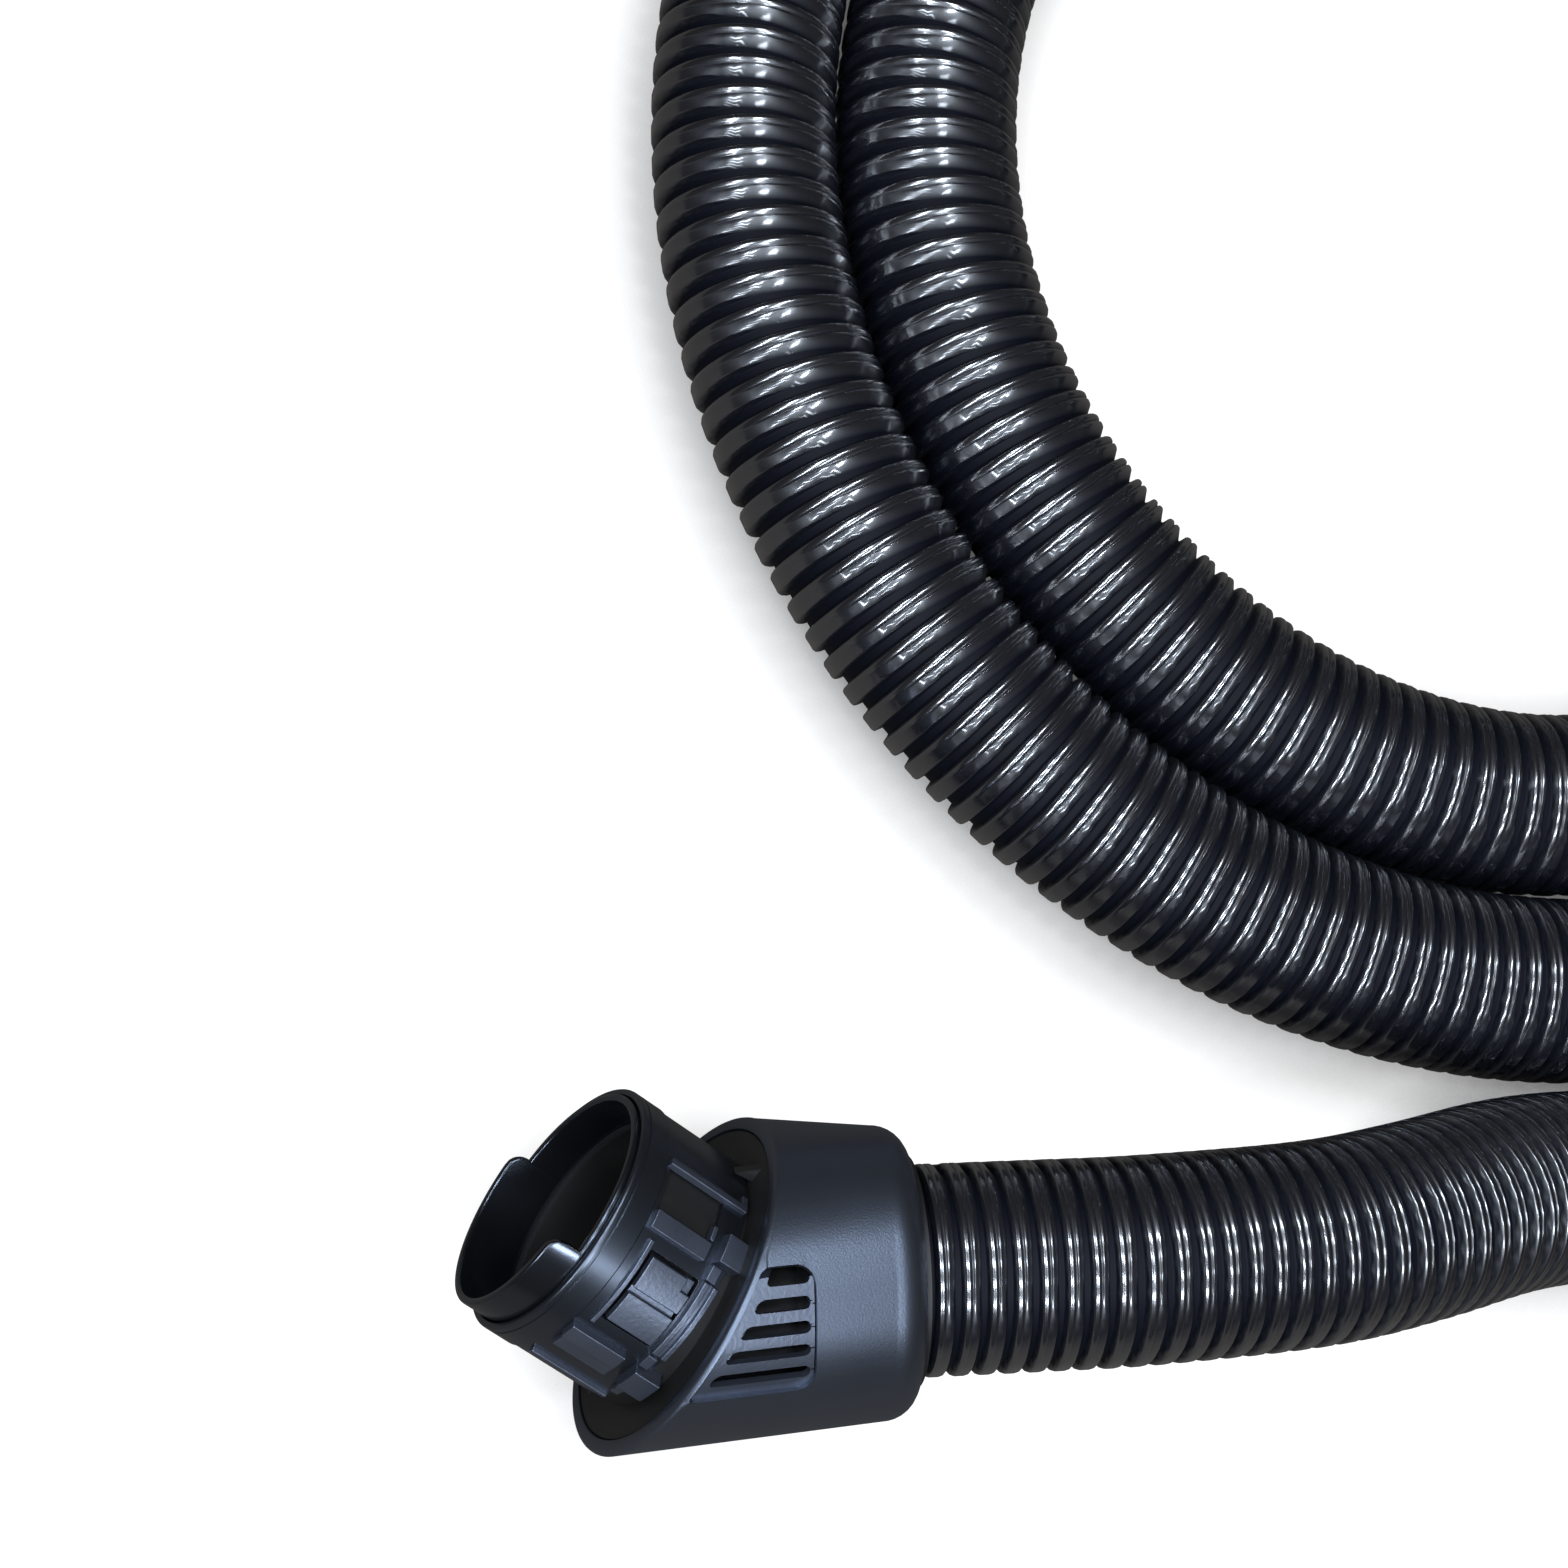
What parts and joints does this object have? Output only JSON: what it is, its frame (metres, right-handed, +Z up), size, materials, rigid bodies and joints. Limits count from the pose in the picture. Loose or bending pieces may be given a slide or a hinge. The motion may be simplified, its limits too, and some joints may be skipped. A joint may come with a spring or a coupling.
{
  "type": "vacuum hose",
  "caption": "Coiled ribbed suction hose of a vacuum cleaner, with a latching, swivelling elbow cuff at the machine end and a swivelling wand cuff at the other end",
  "frame": {"origin": "on the floor, under the middle of the elbow cuff's bounding box", "axes": "+Z up from the floor the hose lies on; +X along the cuff's sleeve, from its mouth towards the hose; +Y towards the middle of the coil"},
  "size_m": [0.5037, 0.5007, 0.0954],
  "materials": {
    "satin_plastic": "satin moulded",
    "black_plastic": "satin moulded",
    "hose_plastic": "glossy extruded",
    "seal_rubber": "matt",
    "spring_steel": "plain"
  },
  "bodies": {
    "hose": {"hose_insert": "black_plastic", "hose_seal": "seal_rubber", "hose_lead": "hose_plastic", "hose_coil": "hose_plastic", "hose_tail": "hose_plastic", "tool_insert": "black_plastic", "tool_seal": "seal_rubber"},
    "sleeve": {"cuff_sleeve": "satin_plastic", "vent_grille": "black_plastic", "air_duct": "black_plastic", "hose_lock_ring": "spring_steel", "swivel_seal": "seal_rubber"},
    "elbow": {"swivel_elbow": "black_plastic", "retainer_ring": "satin_plastic", "retainer_screws": "spring_steel", "latch_collar": "satin_plastic", "inlet_spigot": "black_plastic", "spigot_seal": "seal_rubber", "latch_spring_near": "spring_steel", "latch_spring_far": "spring_steel"},
    "button_near": {"latch_button_near": "satin_plastic"},
    "button_far": {"latch_button_far": "satin_plastic"},
    "wand_cuff": {"tool_cuff": "satin_plastic", "tool_grip": "seal_rubber", "tool_lock_ring": "spring_steel"}
  },
  "joints": [
    {"name": "cuff_swivel", "type": "hinge", "parent": "hose", "child": "sleeve", "pos_m": [0.04287, -0.0021, 0.0414], "axis": [0.9925, 0, 0.1219], "continuous": true},
    {"name": "elbow_swivel", "type": "hinge", "parent": "sleeve", "child": "elbow", "pos_m": [-0.00378, -0.0021, 0.03567], "axis": [-0.8714, 0.4406, 0.2155], "continuous": true},
    {"name": "near_latch_press", "type": "slide", "parent": "elbow", "child": "button_near", "axis": [-0.042, 0.4182, -0.9074], "range_m": [0, 0.001], "stiffness_N_per_m": 3000, "springref_m": -0.0005, "deforming": ["latch_spring_near"]},
    {"name": "far_latch_press", "type": "slide", "parent": "elbow", "child": "button_far", "axis": [0.042, -0.4182, 0.9074], "range_m": [0, 0.001], "stiffness_N_per_m": 3000, "springref_m": -0.0005, "deforming": ["latch_spring_far"]},
    {"name": "wand_swivel", "type": "hinge", "parent": "hose", "child": "wand_cuff", "pos_m": [0.1791, 0.41, 0.069], "axis": [-0.9897, 0.1434, 0], "continuous": true}
  ]
}
